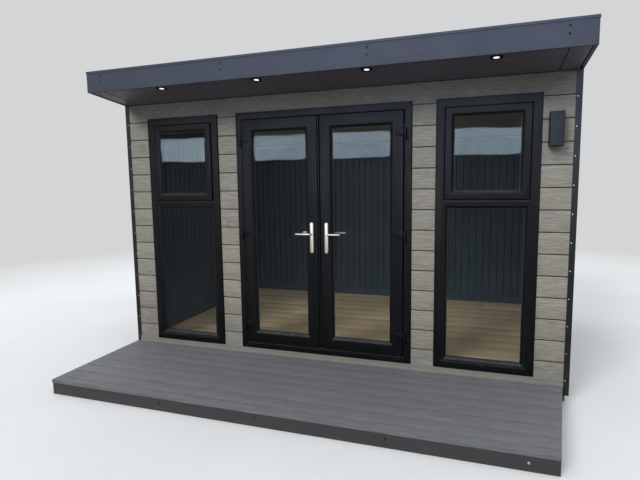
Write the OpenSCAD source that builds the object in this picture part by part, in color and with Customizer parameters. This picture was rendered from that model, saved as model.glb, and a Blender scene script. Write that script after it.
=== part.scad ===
// Garden office pod: a clad timber room with a sloping roof, a pair of glazed
// doors between two tall windows, and a low deck along its front.
// X runs along the front, Y runs into the building and Z is up. The origin is
// on the ground, in the middle of the plan.

/* [Building] */
// Width of the building over its cladding
wall_w = 3750; // [3600:10:4200]
// Depth of the building over its cladding
wall_d = 2400; // [2000:10:3000]
// Height of the wall between the frames and the soffit
header_h = 140; // [100:5:200]
// Fall of the roof towards the back, in millimetres a metre
roof_fall = 100; // [60:5:120]
// Thickness of the structural wall panels
panel_t = 95; // [80:5:140]
// Thickness of the lining on the walls and ceiling
lining_t = 12; // [8:1:20]

/* [Cladding] */
// Height that one course of cladding covers
course_h = 157; // [120:1:200]
// Thickness of the cladding
cladding_t = 20; // [16:1:28]
// Open joint left between the cladding and the frames
seal_gap = 6; // [4:1:10]
// Height of the cladding's lower edge above the ground at the sides and back
cladding_z = 50; // [30:5:90]
// Width of each leg of the corner trims
corner_leg = 40; // [30:1:60]
// How far the corner trims stand out from the cladding
trim_proud = 3; // [2:0.5:6]

/* [Base] */
// Height of the floor above the ground
floor_z = 166; // [150:1:200]
// Thickness of the floor panel
floor_t = 42; // [30:1:60]
// Width of the bearers and joists
joist_w = 45; // [38:1:60]
// Largest spacing of the joists from centre to centre
joist_pitch = 400; // [300:10:400]
// How far the trim at the foot of the front wall stands out
base_trim_d = 20; // [14:1:28]
// Height of the trim's lower step above the deck
base_step_h = 16; // [12:1:24]

/* [Openings] */
// Width of the door frame
door_w = 1480; // [1400:10:1560]
// Height of the door and window frames
frame_h = 2030; // [1950:5:2060]
// Width of the wall between the door frame and a window frame
pier_w = 184; // [140:2:220]
// Width of the wall between a window frame and the building's end
end_w = 241; // [220:1:300]
// Depth of the frames from front to back
frame_d = 70; // [66:1:90]
// How far the frames stand out from the cladding
frame_proud = 12; // [6:1:16]

/* [Doors] */
// Width of the door frame's face round the leaves
door_face = 52; // [46:1:60]
// Joint left between each leaf and the frame
leaf_gap = 8; // [6:1:10]
// Joint left between the two leaves
meeting_gap = 26; // [24:1:32]
// Thickness of the leaves
leaf_t = 58; // [54:1:60]
// How far the leaves stand out from the frame
leaf_proud = 10; // [6:1:12]
// Width of the leaf's profile, up to the glass
leaf_profile = 100; // [90:1:120]
// Width of the sloping bead at the glass
bead_w = 18; // [12:1:24]
// Width of the cover strip on the edge of the left leaf
meeting_strip_w = 13; // [8:1:13]

/* [Windows] */
// Width of the window frame's face
window_face = 58; // [50:1:66]
// Joint left between the opening light and its frame
sash_gap = 6; // [4:1:8]
// Width of the opening light's profile, up to the glass
sash_profile = 62; // [54:1:80]
// Width of the fixed light's flat bead, before its slope
fixed_bead = 10; // [6:1:16]
// Height of the transom's underside above the foot of the frame
transom_z = 1263; // [1100:1:1400]
// Width of the transom
transom_w = 32; // [26:1:60]
// Thickness of the sealed glass units
glass_t = 24; // [20:1:28]

/* [Hinges and handles] */
// Diameter of the hinge barrels
barrel_d = 21; // [18:0.5:22]
// Diameter of the hinge pins
pin_d = 10; // [8:0.5:12]
// Height of a whole hinge
hinge_h = 92; // [80:1:120]
// Distance from the leaf's top to the middle of the top hinge
hinge_top_inset = 172; // [140:1:220]
// Distance from the leaf's foot to the middle of the bottom hinge
hinge_foot_inset = 146; // [140:1:220]
// Distance from the leaf's edge to the hinge pins
pin_offset = 15; // [14:0.5:20]
// Length of the hinge flags on the face of the leaf
flag_w = 60; // [50:1:70]
// Height of the hinge flags
flag_h = 64; // [50:1:76]
// Height of the lever above the floor
lever_z = 1025; // [950:1:1100]
// Length of the lever from its spindle
lever_l = 120; // [100:1:140]
// Distance from the plate's face to the middle of the lever
lever_reach = 46; // [40:1:56]
// Diameter of the lever's bar
lever_d = 14; // [12:0.5:16]
// Height of the handle plates
plate_h = 256; // [220:2:280]
// Width of the handle plates
plate_w = 32; // [30:1:38]
// Thickness of the handle plates
plate_t = 13; // [8:0.5:16]

/* [Roof] */
// Reach of the roof in front of the wall
overhang = 440; // [300:5:600]
// Thickness of the roof panel
roof_t = 120; // [100:5:122]
// Height of the fascia boards
fascia_h = 165; // [162:1:190]
// Thickness of the front fascia board
fascia_t = 22; // [16:1:28]
// How far the fascias hang below the soffit
fascia_drop = 4; // [2:1:8]
// Thickness of the roof's rubber sheet
membrane_t = 4; // [2:1:6]
// Number of downlights under the soffit
downlight_count = 4; // [2:1:6]
// Distance between the downlights
downlight_pitch = 839; // [400:1:900]
// Distance from the middle of the building to the middle of the downlights
downlight_shift = 61; // [0:1:100]
// Diameter of the downlight rings
downlight_d = 86; // [64:1:100]
// Distance from the wall to the downlights
downlight_reach = 370; // [200:5:380]
// Distance from the frames' top down to the middle of the wall light
lamp_drop = 253; // [150:1:500]
// Distance from the building's end to the middle of the wall light
lamp_inset = 154; // [120:1:180]

/* [Deck] */
// Height of the deck's surface above the ground
deck_z = 118; // [100:1:140]
// Depth of the deck from its front edge to the wall
deck_d = 1000; // [800:10:1400]
// Length of the deck along its front edge
deck_w = 3567; // [3000:1:3700]
// How much longer the deck is at the wall, where its right end slants out
deck_splay = 144; // [0:1:160]
// Thickness of the deck boards
board_t = 25; // [20:1:30]
// Width of a deck board
board_w = 130; // [100:1:160]
// Joint left between two deck boards
board_gap = 5; // [3:0.5:8]
// Width of the edge board at the front of the deck
nosing_w = 70; // [50:1:130]
// How far the edge board reaches over the board below it
nosing_reach = 8; // [4:1:20]
// Thickness of the deck's facing boards
facing_t = 20; // [16:1:26]

/* [Hidden] */

// Colours
cladding_colour = "#8b887c";
frame_colour = "#24242a";
fascia_colour = "#4b4e58";
deck_colour = "#55565b";
timber_colour = "#b79f78";
lining_colour = "#6d6d68";
metal_colour = "#c9c9c6";
glass_colour = [0.55, 0.62, 0.66, 0.45];
lens_colour = "#f4f1e6";

// Plan and levels
half_w = wall_w / 2;
core_x = half_w - cladding_t;
room_x = core_x - panel_t;
eaves_z = floor_z + frame_h + header_h;
core_back = wall_d - cladding_t;
room_front = cladding_t + panel_t;
room_back = core_back - panel_t;
edge_x = half_w + trim_proud;
window_w = half_w - door_w / 2 - pier_w - end_w;
window_x = door_w / 2 + pier_w + window_w / 2;
frame_top = floor_z + frame_h;
frame_front = -frame_proud;
frame_back = frame_front + frame_d;
margin = 50;

// Roof
slope = roof_fall / 1000;
slope_angle = atan(slope);
fascia_low = -fascia_drop;
fascia_high = fascia_h - fascia_drop;
panel_high = lining_t + roof_t;
canopy_front = -overhang;
canopy_back = canopy_front + fascia_t;
cap_t = 3;
plan_front = -max(overhang + cap_t, deck_d);
plan_back = wall_d + trim_proud + cap_t;
cap_w = 48;
cap_lip = 14;
downlight_first = downlight_shift - downlight_pitch * (downlight_count - 1) / 2;
downlight_t = 4;
lens_d = 50;
lens_gap = 0.3;

// Wall light
lamp_x = half_w - lamp_inset;
lamp_z = frame_top - lamp_drop;
lamp_w = 90;
lamp_h = 230;
lamp_d = 85;
lamp_wall = 5;
lamp_recess = 14;
lamp_plate_w = 74;
lamp_plate_h = 130;
lamp_plate_t = 12;
lamp_lens_t = 4;

// Leaves
leaf_outer = door_w / 2 - door_face - leaf_gap;
leaf_inner = meeting_gap / 2;
leaf_w = leaf_outer - leaf_inner;
leaf_foot = floor_z + door_face + leaf_gap;
leaf_h = frame_h - 2 * (door_face + leaf_gap);
leaf_front = frame_front - leaf_proud;
leaf_back = leaf_front + leaf_t;
stop_gap = 5;
stop_cover = 16;
glass_set = 16;
glass_grip = 8;
glass_front = leaf_front + glass_set;
inner_bead = 14;
strip_front = 14;
strip_back = 44;
strip_root = 5;

// Windows
sash_front = frame_front - leaf_proud;
stop_front = leaf_back + stop_gap;
sash_t = stop_front - sash_front;
sash_w = window_w - 2 * (window_face + sash_gap);
sash_foot = floor_z + transom_z + transom_w + sash_gap;
sash_h = frame_top - window_face - sash_gap - sash_foot;
sash_set = 14;
fixed_set = 4;
fixed_glass_set = 18;
fixed_profile = fixed_bead + bead_w;
fixed_foot = floor_z + window_face;
fixed_w = window_w - 2 * window_face;
fixed_h = transom_z - window_face;
bead_root = 3;
transom_half = fixed_w / 2 + bead_root;

// Hinges
pin_x = leaf_outer + pin_offset;
barrel_gap = 1.5;
pin_y = frame_front - barrel_d / 2 - barrel_gap;
pin_fit = 0.05;
pin_end_gap = 3;
bearing_gap = 0.3;
barrel_cap = 5;
flag_t = 5;
block_out = 8;
block_in = 4;
hinge_heights = [
    leaf_foot + hinge_foot_inset,
    leaf_foot + leaf_h / 2,
    leaf_foot + leaf_h - hinge_top_inset
];

// Handles
spindle_x = leaf_inner + leaf_profile / 2;
spindle_z = floor_z + lever_z;
spindle_d = 10;
spindle_bore = 16;
plate_drop = 34;
neck_d = 18;
neck_fit = 0.08;
neck_show = 8;
bend_r = 16;

// Deck
deck_left = -half_w;
deck_clear = 3;
deck_back = -trim_proud - deck_clear;
deck_front = -deck_d;
frame_front_y = deck_front + nosing_reach + facing_t;
deck_under = deck_z - board_t;

// Height of the soffit's underside at a distance behind the front wall's face
function soffit_at(y) = eaves_z - slope * y;

// Number of equal bays no wider than a pitch
function bays(span, pitch) = ceil(span / pitch);

// Right end of the deck, slanting out towards the wall, at a distance behind the wall's face
function deck_right(y) = deck_left + deck_w + deck_splay * (y - deck_front) / deck_d;

// Size along the front of what is t thick, measured square to the deck's slanting end
function along_front(t) = t / cos(atan(deck_splay / deck_d));

// Puts the origin in the middle of the plan
module placed() {
    translate([0, -(plan_front + plan_back) / 2, 0]) children();
}

// A prism along X between two X values, with its outline given as [y, z] points
module along_x(x0, x1, outline) {
    translate([x0, 0, 0]) rotate([90, 0, 90]) linear_extrude(x1 - x0) polygon(outline);
}

// A box between two corners
module block(low, high) {
    translate(low) cube(high - low);
}

// A slab that follows the roof, between two heights above the soffit's underside
module roof_slab(x0, x1, y0, y1, low, high) {
    along_x(x0, x1, [
        [y0, soffit_at(y0) + low],
        [y1, soffit_at(y1) + low],
        [y1, soffit_at(y1) + high],
        [y0, soffit_at(y0) + high]
    ]);
}

// A wall piece that starts level at its foot and follows the roof at its top
module under_roof(x0, x1, y0, y1, z0, offset) {
    along_x(x0, x1, [
        [y0, z0],
        [y1, z0],
        [y1, soffit_at(y1) + offset],
        [y0, soffit_at(y0) + offset]
    ]);
}

// Both halves of a pair
module both_sides() {
    children();
    mirror([1, 0, 0]) children();
}

// The upright plane figure that cuts one bar of a mitred ring to its 45 degree ends
module mitre_cut(length, width, y0, y1) {
    translate([0, y1, 0]) rotate([90, 0, 0]) linear_extrude(y1 - y0)
        polygon([[0, 0], [length, 0], [length - width, width], [width, width]]);
}

// A ring of four mitred bars in the plane of the wall, w wide and h high, with its
// foot at z = 0. The section's points are [distance in from the outer edge, y].
module mitred_ring(w, h, section) {
    width = max([for (p = section) p[0]]);
    y0 = min([for (p = section) p[1]]);
    y1 = max([for (p = section) p[1]]);
    // Jambs
    both_sides() translate([-w / 2, 0, 0]) intersection() {
        linear_extrude(h) polygon(section);
        translate([0, 0, h]) rotate([0, 90, 0]) mitre_cut(h, width, y0, y1);
    }
    // Foot and head
    for (head = [0, 1]) translate([0, 0, head * h]) mirror([0, 0, head])
        translate([-w / 2, 0, 0]) intersection() {
            translate([w, 0, 0]) rotate([0, -90, 0]) linear_extrude(w) polygon(section);
            mitre_cut(w, width, y0, y1);
        }
}

// Joists at equal spacing inside a rim, between two corners
module joisted_frame(low, high) {
    span = high[0] - low[0] - joist_w;
    count = bays(span, joist_pitch);
    for (i = [0 : count])
        block([low[0] + i * span / count, low[1], low[2]],
              [low[0] + i * span / count + joist_w, high[1], high[2]]);
    block(low, [high[0], low[1] + joist_w, high[2]]);
    block([low[0], high[1] - joist_w, low[2]], high);
}

// Base and floor

module base_frame() {
    color(timber_colour)
    joisted_frame([-core_x, cladding_t, 0], [core_x, core_back, floor_z - floor_t]);
}

module floor_panel() {
    color(timber_colour)
    block([-core_x, cladding_t, floor_z - floor_t], [core_x, core_back, floor_z]);
}

// Walls

module front_pier(x0, x1) {
    color(timber_colour)
    block([x0, cladding_t, floor_z], [x1, room_front, frame_top]);
}

module left_outer_pier() {
    front_pier(-room_x, -window_x - window_w / 2);
}

module left_inner_pier() {
    front_pier(-window_x + window_w / 2, -door_w / 2);
}

module right_inner_pier() {
    front_pier(door_w / 2, window_x - window_w / 2);
}

module right_outer_pier() {
    front_pier(window_x + window_w / 2, room_x);
}

module front_header() {
    color(timber_colour)
    under_roof(-room_x, room_x, cladding_t, room_front, frame_top, lining_t);
}

module side_wall() {
    color(timber_colour)
    under_roof(room_x, core_x, cladding_t, core_back, floor_z, lining_t);
}

module left_wall() {
    mirror([1, 0, 0]) side_wall();
}

module right_wall() {
    side_wall();
}

module back_wall() {
    color(timber_colour)
    under_roof(-room_x, room_x, room_back, core_back, floor_z, lining_t);
}

// The three openings of the front wall, each larger than its frame by a margin
module front_openings(y0, y1, gap) {
    for (x = [-window_x, window_x])
        block([x - window_w / 2 - gap, y0, floor_z - margin],
              [x + window_w / 2 + gap, y1, frame_top + gap]);
    block([-door_w / 2 - gap, y0, floor_z - margin], [door_w / 2 + gap, y1, frame_top + gap]);
}

module wall_lining() {
    color(lining_colour)
    difference() {
        under_roof(-room_x, room_x, room_front, room_back, floor_z, 0);
        under_roof(-room_x + lining_t, room_x - lining_t, room_front + lining_t,
                   room_back - lining_t, floor_z - margin, margin);
        front_openings(room_front - margin, room_front + lining_t + margin, 0);
    }
}

module ceiling_lining() {
    color(lining_colour)
    roof_slab(-room_x, room_x, room_front, room_back, 0, lining_t);
}

// Cladding and trims

module front_cladding() {
    color(cladding_colour)
    difference() {
        under_roof(-edge_x + corner_leg, edge_x - corner_leg, 0, cladding_t, floor_z, lining_t);
        front_openings(-margin, cladding_t + margin, seal_gap);
    }
}

module side_cladding() {
    color(cladding_colour)
    both_sides()
        under_roof(core_x, half_w, corner_leg - trim_proud, wall_d + trim_proud - corner_leg,
                   cladding_z, fascia_low);
}

module back_cladding() {
    color(cladding_colour)
    block([-edge_x + corner_leg, core_back, cladding_z],
          [edge_x - corner_leg, wall_d, soffit_at(wall_d) + fascia_low]);
}

// One corner's angle, with its outer corner at x, y and its legs turned inwards
module corner_angle(y, turn) {
    inner = turn > 0 ? cladding_t : core_back;
    top = turn > 0 ? 0 : fascia_low;
    leg_end = y + turn * corner_leg;
    under_roof(edge_x - corner_leg, core_x, min(y, inner), max(y, inner), cladding_z, top);
    under_roof(core_x, edge_x, min(y, leg_end), max(y, leg_end), cladding_z, fascia_low);
}

module corner_trims() {
    color(frame_colour)
    both_sides() {
        corner_angle(-trim_proud, 1);
        corner_angle(wall_d + trim_proud, -1);
    }
}

// A skirting behind the deck's edge, with a stepped trim between the deck and the frames
module base_trim() {
    step_z = deck_z + base_step_h;
    step_y = -base_trim_d / 2;
    bevel = 3;
    color(cladding_colour)
    along_x(-edge_x + corner_leg, edge_x - corner_leg, [
        [cladding_t, cladding_z],
        [0, cladding_z],
        [0, deck_z],
        [-base_trim_d, deck_z],
        [-base_trim_d, step_z - bevel],
        [-base_trim_d + bevel, step_z],
        [step_y, step_z],
        [step_y, floor_z - bevel],
        [step_y + bevel, floor_z],
        [cladding_t, floor_z]
    ]);
}

// Roof

module roof_panel() {
    color(timber_colour)
    roof_slab(-core_x, core_x, canopy_back, core_back, lining_t, panel_high);
}

module roof_membrane() {
    color("#2b2c2e")
    roof_slab(-core_x, core_x, canopy_back, core_back, panel_high, panel_high + membrane_t);
}

module front_fascia() {
    color(fascia_colour)
    roof_slab(-edge_x, edge_x, canopy_front, canopy_back, fascia_low, fascia_high);
}

module side_fascias() {
    color(fascia_colour)
    both_sides()
        roof_slab(core_x, edge_x, canopy_back, core_back, fascia_low, fascia_high);
}

module back_fascia() {
    color(fascia_colour)
    roof_slab(-edge_x, edge_x, core_back, wall_d + trim_proud, fascia_low, fascia_high);
}

// A folded metal edge on the fascias: a flat top, an outer lip and an inner upstand
module roof_capping() {
    outer = edge_x + cap_t;
    front = canopy_front - cap_t;
    back = wall_d + trim_proud + cap_t;
    color("#3a3c42")
    difference() {
        roof_slab(-outer, outer, front, back, panel_high + membrane_t, fascia_high + cap_t);
        // Room for the fascias
        difference() {
            roof_slab(-edge_x, edge_x, canopy_front, wall_d + trim_proud, 0, fascia_high);
            roof_slab(-outer + cap_w, outer - cap_w, front + cap_w, back - cap_w,
                      0, fascia_high + margin);
        }
        // Room for the roof sheet
        roof_slab(-outer + cap_w + cap_t, outer - cap_w - cap_t, front + cap_w + cap_t,
                  back - cap_w - cap_t, 0, fascia_high + margin);
        // Below the outer lip
        difference() {
            roof_slab(-outer - margin, outer + margin, front - margin, back + margin,
                      0, fascia_high - cap_lip);
            roof_slab(-edge_x, edge_x, canopy_front, wall_d + trim_proud, -margin, fascia_high);
        }
    }
}

module canopy_soffit() {
    color("#2e2c2c")
    roof_slab(-core_x, core_x, canopy_back, 0, 0, lining_t);
}

// Puts a fitting on the soffit's underside, square to it
module on_soffit(x) {
    translate([x, -downlight_reach, soffit_at(-downlight_reach)]) rotate([-slope_angle, 0, 0])
        children();
}

module downlight_rings() {
    color("#151515")
    for (i = [0 : downlight_count - 1]) on_soffit(downlight_first + i * downlight_pitch)
        rotate_extrude() polygon([
            [lens_d / 2, 0],
            [lens_d / 2, -downlight_t / 2],
            [downlight_d / 2 - downlight_t, -downlight_t],
            [downlight_d / 2, -downlight_t / 4],
            [downlight_d / 2, 0]
        ]);
}

module wall_light() {
    color("#1f1f22")
    translate([lamp_x, 0, lamp_z]) {
        block([-lamp_plate_w / 2, -lamp_plate_t, -lamp_plate_h / 2],
              [lamp_plate_w / 2, 0, lamp_plate_h / 2]);
        difference() {
            block([-lamp_w / 2, -lamp_plate_t - lamp_d, -lamp_h / 2],
                  [lamp_w / 2, -lamp_plate_t, lamp_h / 2]);
            for (end = [-1, 1]) translate([0, 0, end * (lamp_h - lamp_recess) / 2])
                block([-lamp_w / 2 + lamp_wall, -lamp_plate_t - lamp_d + lamp_wall,
                       -lamp_recess / 2 - (end < 0 ? margin : 0)],
                      [lamp_w / 2 - lamp_wall, -lamp_plate_t - lamp_wall,
                       lamp_recess / 2 + (end > 0 ? margin : 0)]);
        }
    }
}

module light_lenses() {
    color(lens_colour) {
        for (i = [0 : downlight_count - 1]) on_soffit(downlight_first + i * downlight_pitch)
            translate([0, 0, -downlight_t / 4])
                cylinder(h = downlight_t / 4, d = lens_d - 2 * lens_gap);
        for (end = [-1, 1])
            translate([lamp_x, 0, lamp_z + end * (lamp_h / 2 - lamp_recess + lamp_lens_t / 2)])
                block([-lamp_w / 2 + lamp_wall, -lamp_plate_t - lamp_d + lamp_wall, -lamp_lens_t / 2],
                      [lamp_w / 2 - lamp_wall, -lamp_plate_t - lamp_wall, lamp_lens_t / 2]);
    }
}

// Door frame and leaves

module door_frame() {
    color(frame_colour)
    translate([0, 0, floor_z])
        mitred_ring(door_w, frame_h, [
            [0, frame_front],
            [door_face, frame_front],
            [door_face, stop_front],
            [door_face + leaf_gap + stop_cover, stop_front],
            [door_face + leaf_gap + stop_cover, frame_back],
            [0, frame_back]
        ]);
}

// Section of a glazed member: a flat face, a sloping bead, a groove that holds the
// glass and a bead inside
function glazed_section(profile, bead, front, back, glass_y) = [
    [0, front],
    [profile - bead, front],
    [profile, glass_y],
    [profile - glass_grip, glass_y],
    [profile - glass_grip, glass_y + glass_t],
    [profile, glass_y + glass_t],
    [profile - inner_bead, back],
    [0, back]
];

// The pane that fills a glazed ring's groove
module glazed_pane(w, h, profile, glass_y) {
    grip = profile - glass_grip;
    color(glass_colour)
    block([-w / 2 + grip, glass_y, grip], [w / 2 - grip, glass_y + glass_t, h - grip]);
}

// Moves a leaf's own frame, with its middle at x = 0, to the left leaf's place
module at_left_leaf() {
    translate([-(leaf_outer + leaf_inner) / 2, 0, leaf_foot]) children();
}

module leaf_body() {
    translate([spindle_x - (leaf_outer + leaf_inner) / 2, 0, spindle_z - leaf_foot]) children();
}

module spindle_hole(d) {
    translate([0, leaf_back + margin, 0]) rotate([90, 0, 0])
        cylinder(h = leaf_t + 2 * margin, d = d);
}

// A leaf with its hinges on the left, before it is moved to its place
module leaf_ring() {
    difference() {
        mitred_ring(leaf_w, leaf_h,
                    glazed_section(leaf_profile, bead_w, leaf_front, leaf_back, glass_front));
        mirror([1, 0, 0]) leaf_body() spindle_hole(spindle_bore);
    }
}

module left_leaf() {
    color(frame_colour)
    at_left_leaf() {
        leaf_ring();
        // Cover strip that closes the joint between the leaves
        block([leaf_w / 2 - strip_root, leaf_front + strip_front, 0],
              [leaf_w / 2 + meeting_strip_w, leaf_front + strip_back, leaf_h]);
    }
}

module right_leaf() {
    color(frame_colour)
    mirror([1, 0, 0]) at_left_leaf() leaf_ring();
}

module left_leaf_glass() {
    at_left_leaf() glazed_pane(leaf_w, leaf_h, leaf_profile, glass_front);
}

module right_leaf_glass() {
    mirror([1, 0, 0]) left_leaf_glass();
}

// Hinges: the lower half of each barrel is fixed to the frame and carries the pin

module left_hinge_blocks() {
    color("#1b1b1e")
    for (z = hinge_heights) translate([-pin_x, pin_y, z]) {
        translate([0, 0, -hinge_h / 2]) cylinder(h = hinge_h / 2, d = barrel_d);
        block([-block_out, 0, -hinge_h / 2], [block_in, frame_front - pin_y, 0]);
        cylinder(h = hinge_h / 2 - barrel_cap - pin_end_gap, d = pin_d);
    }
}

module right_hinge_blocks() {
    mirror([1, 0, 0]) left_hinge_blocks();
}

module left_hinge_flags() {
    color("#1b1b1e")
    for (z = hinge_heights) translate([-pin_x, pin_y, z]) difference() {
        union() {
            translate([0, 0, bearing_gap]) cylinder(h = hinge_h / 2, d = barrel_d);
            block([0, leaf_front - pin_y - flag_t, bearing_gap],
                  [pin_offset, leaf_front - pin_y, hinge_h / 2]);
            block([pin_offset, leaf_front - pin_y - flag_t, hinge_h / 2 - flag_h],
                  [pin_offset + flag_w, leaf_front - pin_y, hinge_h / 2]);
        }
        translate([0, 0, -margin])
            cylinder(h = hinge_h / 2 - barrel_cap + margin, d = pin_d + 2 * pin_fit);
    }
}

module right_hinge_flags() {
    mirror([1, 0, 0]) left_hinge_flags();
}

// Handles: a long plate on each face of the leaf and one pair of levers on a spindle

// A plate with round ends, standing out from y = 0 towards the front
module handle_plate() {
    rise = plate_h - plate_w;
    translate([0, 0, -plate_drop]) rotate([90, 0, 0]) {
        for (end = [-1, 1]) translate([0, end * rise / 2, 0]) cylinder(h = plate_t, d = plate_w);
        translate([-plate_w / 2, -rise / 2, 0]) cube([plate_w, rise, plate_t]);
    }
}

module left_handle_plates() {
    color(metal_colour)
    difference() {
        translate([-spindle_x, 0, spindle_z]) {
            translate([0, leaf_front, 0]) handle_plate();
            translate([0, leaf_back + plate_t, 0]) handle_plate();
        }
        translate([-spindle_x, 0, spindle_z]) spindle_hole(neck_d + 2 * neck_fit);
    }
}

module right_handle_plates() {
    mirror([1, 0, 0]) left_handle_plates();
}

// A lever that stands out from y = 0 towards the front and turns to the left
module lever_arm() {
    reach = plate_t + lever_reach;
    rotate([90, 0, 0]) cylinder(h = plate_t + neck_show, d = neck_d);
    rotate([90, 0, 0]) cylinder(h = reach - bend_r, d = lever_d);
    translate([-bend_r, bend_r - reach, 0]) rotate([0, 0, -90])
        rotate_extrude(angle = 90) translate([bend_r, 0]) circle(d = lever_d);
    translate([-lever_l, -reach, 0]) {
        rotate([0, 90, 0]) cylinder(h = lever_l - bend_r, d = lever_d);
        sphere(d = lever_d);
    }
}

// Both levers and their spindle, with the levers pointing to the hinges
module left_lever() {
    color(metal_colour)
    translate([-spindle_x, 0, spindle_z]) {
        translate([0, leaf_back, 0]) rotate([90, 0, 0]) cylinder(h = leaf_t, d = spindle_d);
        translate([0, leaf_front, 0]) lever_arm();
        translate([0, leaf_back, 0]) mirror([0, 1, 0]) lever_arm();
    }
}

module right_lever() {
    mirror([1, 0, 0]) left_lever();
}

// Windows: an opening light over a fixed light

module window_frame(x) {
    color(frame_colour)
    translate([x, 0, 0]) {
        translate([0, 0, floor_z]) mitred_ring(window_w, frame_h, [
            [0, frame_front],
            [window_face, frame_front],
            [window_face, stop_front],
            [window_face + sash_gap + stop_cover, stop_front],
            [window_face + sash_gap + stop_cover, frame_back],
            [0, frame_back]
        ]);
        // Transom, with the stop of the opening light behind it
        block([-transom_half, frame_front, floor_z + transom_z],
              [transom_half, frame_back, floor_z + transom_z + transom_w]);
        block([-transom_half, stop_front, floor_z + transom_z],
              [transom_half, frame_back, floor_z + transom_z + transom_w + sash_gap + stop_cover]);
        // Bead and groove of the fixed light, rooted in the frame
        translate([0, 0, fixed_foot - bead_root])
            mitred_ring(fixed_w + 2 * bead_root, fixed_h + 2 * bead_root,
                        glazed_section(fixed_profile + bead_root, bead_w, frame_front + fixed_set,
                                       frame_back, frame_front + fixed_glass_set));
    }
}

module left_window_frame() {
    window_frame(-window_x);
}

module right_window_frame() {
    window_frame(window_x);
}

module window_sash(x) {
    color(frame_colour)
    translate([x, 0, sash_foot]) mitred_ring(sash_w, sash_h,
        glazed_section(sash_profile, bead_w, sash_front, stop_front, sash_front + sash_set));
}

module left_window_sash() {
    window_sash(-window_x);
}

module right_window_sash() {
    window_sash(window_x);
}

module window_glass(x) {
    translate([x, 0, sash_foot]) glazed_pane(sash_w, sash_h, sash_profile, sash_front + sash_set);
    translate([x, 0, fixed_foot])
        glazed_pane(fixed_w, fixed_h, fixed_profile, frame_front + fixed_glass_set);
}

module left_window_glass() {
    window_glass(-window_x);
}

module right_window_glass() {
    window_glass(window_x);
}

// Deck

// A slab from a left end to the deck's slanting end, less an inset
module deck_slab(x0, y0, y1, z0, z1, inset = 0) {
    translate([0, 0, z0]) linear_extrude(z1 - z0) polygon([
        [x0, y0],
        [deck_right(y0) - inset, y0],
        [deck_right(y1) - inset, y1],
        [x0, y1]
    ]);
}

// Joists in equal bays inside a rim. The last bay ends at a slanting joist.
module deck_frame() {
    left = deck_left + facing_t;
    bay_front = frame_front_y + joist_w;
    bay_back = deck_back - joist_w;
    end_inset = along_front(facing_t + joist_w);
    span = deck_right(deck_back) - end_inset - left;
    count = bays(span, joist_pitch);
    color(timber_colour) difference() {
        deck_slab(left, frame_front_y, deck_back, 0, deck_under, along_front(facing_t));
        for (i = [0 : count - 2])
            block([left + i * span / count + joist_w, bay_front, -margin],
                  [left + (i + 1) * span / count, bay_back, deck_under + margin]);
        deck_slab(left + (count - 1) * span / count + joist_w, bay_front, bay_back,
                  -margin, deck_under + margin, end_inset);
    }
}

// Boards run along the front. The edge board comes first, and the last one is cut to fit.
module deck_boards() {
    first = deck_front + nosing_w + board_gap;
    pitch = board_w + board_gap;
    count = bays(deck_back - first, pitch);
    color(deck_colour) {
        deck_slab(deck_left, deck_front, deck_front + nosing_w, deck_under, deck_z);
        for (i = [0 : count - 1]) {
            y = first + i * pitch;
            deck_slab(deck_left, y, min(y + board_w, deck_back), deck_under, deck_z);
        }
    }
}

module deck_front_facing() {
    color(deck_colour)
    deck_slab(deck_left, deck_front + nosing_reach, frame_front_y, 0, deck_under);
}

// The right facing board runs along the slanting end
module deck_side_facings() {
    front_x = deck_right(frame_front_y);
    back_x = deck_right(deck_back);
    color(deck_colour) {
        block([deck_left, frame_front_y, 0], [deck_left + facing_t, deck_back, deck_under]);
        linear_extrude(deck_under) polygon([
            [front_x - along_front(facing_t), frame_front_y],
            [front_x, frame_front_y],
            [back_x, deck_back],
            [back_x - along_front(facing_t), deck_back]
        ]);
    }
}

placed() base_frame();
placed() floor_panel();
placed() left_outer_pier();
placed() left_inner_pier();
placed() right_inner_pier();
placed() right_outer_pier();
placed() front_header();
placed() left_wall();
placed() right_wall();
placed() back_wall();
placed() wall_lining();
placed() ceiling_lining();
placed() front_cladding();
placed() side_cladding();
placed() back_cladding();
placed() corner_trims();
placed() base_trim();
placed() roof_panel();
placed() roof_membrane();
placed() roof_capping();
placed() front_fascia();
placed() side_fascias();
placed() back_fascia();
placed() canopy_soffit();
placed() downlight_rings();
placed() light_lenses();
placed() wall_light();
placed() door_frame();
placed() left_window_frame();
placed() right_window_frame();
placed() left_window_sash();
placed() right_window_sash();
placed() left_window_glass();
placed() right_window_glass();
placed() left_hinge_blocks();
placed() right_hinge_blocks();
placed() deck_frame();
placed() deck_boards();
placed() deck_front_facing();
placed() deck_side_facings();
placed() left_leaf();
placed() left_leaf_glass();
placed() left_hinge_flags();
placed() left_handle_plates();
placed() left_lever();
placed() right_leaf();
placed() right_leaf_glass();
placed() right_hinge_flags();
placed() right_handle_plates();
placed() right_lever();
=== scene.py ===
"""Looks of the garden office pod: studio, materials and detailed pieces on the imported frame.

Sizes are in millimetres in the plan of the part's source: X runs along the front, Y runs
into the building from the face of its front wall, and Z is the height above the ground.
"""

import math
import random

import bmesh
import bpy
from mathutils import Matrix, Vector


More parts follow.
